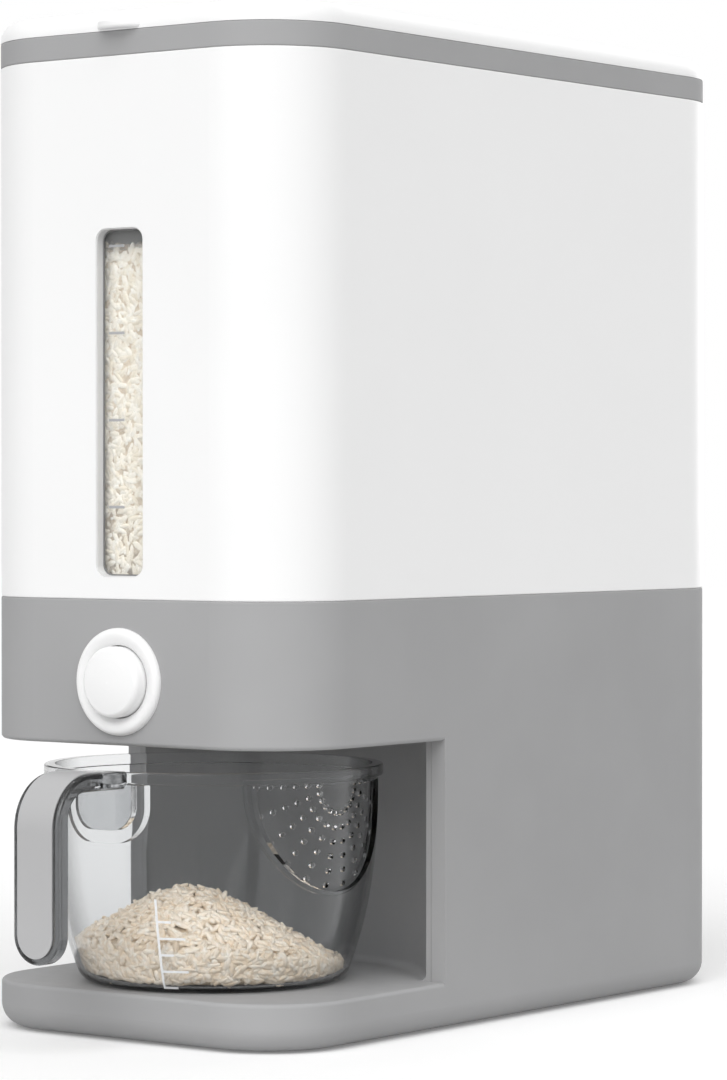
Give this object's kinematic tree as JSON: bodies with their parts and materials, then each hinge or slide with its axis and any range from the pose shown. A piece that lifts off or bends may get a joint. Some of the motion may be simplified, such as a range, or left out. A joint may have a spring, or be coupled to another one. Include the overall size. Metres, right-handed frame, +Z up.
{
  "type": "rice dispenser",
  "caption": "Countertop rice dispenser: white hopper with hinged lid and sight window on a grey base, push-button gate, and a clear measuring cup with a hook handle in an open bay.",
  "frame": {"origin": "centre of the housing's footprint, on the surface the dispenser stands on", "axes": "+X to the right seen from the front, +Y to the back, +Z up"},
  "size_m": [0.16, 0.3624, 0.3916],
  "materials": {
    "grey_plastic": "satin moulded",
    "white_plastic": "semi-gloss moulded",
    "white_inner": "plain moulded",
    "clear_plastic": "clear moulded",
    "smoky_plastic": "smoky moulded",
    "grip_plastic": "satin moulded",
    "silicone": "soft",
    "rubber": "matt",
    "steel": "zinc plated"
  },
  "bodies": {
    "housing": {"base_shell": "grey_plastic", "bay_liner": "grey_plastic", "base_plate": "grey_plastic", "rubber_feet": "rubber", "base_screws": "steel", "hopper_shell": "white_plastic", "sight_window": "clear_plastic", "hopper_funnel": "white_inner", "funnel_seal": "silicone", "hopper_screws": "steel", "collar_frame": "grey_plastic", "lid_hinge_pins": "steel", "button_bezel": "white_plastic", "gate_guide": "grey_plastic", "spring_guide_rod": "steel", "return_spring": "steel", "outlet_nozzle": "grey_plastic", "throat_screws": "steel"},
    "lid": {"lid": "white_plastic", "lid_seal": "silicone"},
    "release_button": {"button_cap": "white_plastic", "gate_slide": "white_inner"},
    "cup": {"measuring_cup": "clear_plastic", "cup_handle": "smoky_plastic", "handle_grip": "grip_plastic", "cup_strainer": "clear_plastic"}
  },
  "joints": [
    {"name": "lid_hinge", "type": "hinge", "parent": "housing", "child": "lid", "pos_m": [0, 0.1555, 0.3831], "axis": [-1, 0, 0], "range_deg": [0, 100]},
    {"name": "button_press", "type": "slide", "parent": "housing", "child": "release_button", "axis": [0, 1, 0], "range_m": [0, 0.007], "stiffness_N_per_m": 350, "springref_m": -0.006, "deforming": ["return_spring"]},
    {"name": "cup_slide", "type": "slide", "parent": "housing", "child": "cup", "axis": [0, -1, 0], "range_m": [0, 0.125]}
  ]
}
